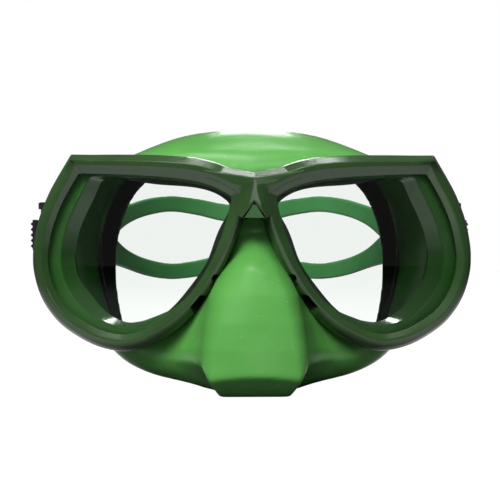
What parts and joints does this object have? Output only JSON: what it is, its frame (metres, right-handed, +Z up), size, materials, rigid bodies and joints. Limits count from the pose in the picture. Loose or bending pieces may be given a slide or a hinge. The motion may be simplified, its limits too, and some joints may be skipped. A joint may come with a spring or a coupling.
{
  "type": "diving mask",
  "caption": "Twin-lens diving mask: hard rimmed front, flat glass lenses, soft face skirt with nose pocket, and a split strap swinging on side buckles.",
  "frame": {"origin": "on the ground under the middle of the mask and strap loop", "axes": "+X to the right of someone looking at the front, front faces -Y, strap runs back along +Y, +Z up as worn"},
  "size_m": [0.1808, 0.168, 0.1056],
  "materials": {
    "frame_plastic": "satin moulded plastic, dark olive green",
    "retainer_plastic": "moulded plastic, dark green",
    "lens_glass": "clear, polished",
    "skirt_silicone": "soft satin silicone, mid green",
    "strap_silicone": "soft satin silicone, deeper green",
    "black_plastic": "moulded plastic, black",
    "steel": "stainless, polished"
  },
  "bodies": {
    "mask": {"front_frame": "frame_plastic", "bridge_clip": "frame_plastic", "lens_left": "lens_glass", "lens_right": "lens_glass", "lens_retainer_left": "retainer_plastic", "lens_retainer_right": "retainer_plastic", "skirt": "skirt_silicone", "swivel_post_left": "black_plastic", "swivel_post_right": "black_plastic"},
    "strap_loop": {"strap": "strap_silicone", "buckle_body_left": "black_plastic", "buckle_body_right": "black_plastic", "roller_pin_left": "steel", "roller_pin_right": "steel", "lever_pin_left": "steel", "lever_pin_right": "steel", "lever_spring_left": "steel", "lever_spring_right": "steel"},
    "roller_left": {"roller_left": "black_plastic"},
    "roller_right": {"roller_right": "black_plastic"},
    "release_lever_left": {"release_lever_left": "black_plastic"},
    "release_lever_right": {"release_lever_right": "black_plastic"}
  },
  "joints": [
    {"name": "strap_swing", "type": "hinge", "parent": "mask", "child": "strap_loop", "pos_m": [0, -0.036, 0.06093], "axis": [1, 0, 0], "range_deg": [-30, 45]},
    {"name": "roller_spin_left", "type": "hinge", "parent": "strap_loop", "child": "roller_left", "pos_m": [-0.07922, -0.02, 0.06093], "axis": [0, 0, -1], "continuous": true},
    {"name": "lever_lift_left", "type": "hinge", "parent": "strap_loop", "child": "release_lever_left", "pos_m": [-0.08642, -0.019, 0.06093], "axis": [0, 0, 1], "range_deg": [0, 35], "stiffness_Nm_per_rad": 0.02, "springref_deg": -17.19},
    {"name": "roller_spin_right", "type": "hinge", "parent": "strap_loop", "child": "roller_right", "pos_m": [0.07922, -0.02, 0.06093], "axis": [0, 0, 1], "continuous": true},
    {"name": "lever_lift_right", "type": "hinge", "parent": "strap_loop", "child": "release_lever_right", "pos_m": [0.08642, -0.019, 0.06093], "axis": [0, 0, -1], "range_deg": [0, 35], "stiffness_Nm_per_rad": 0.02, "springref_deg": -17.19}
  ]
}
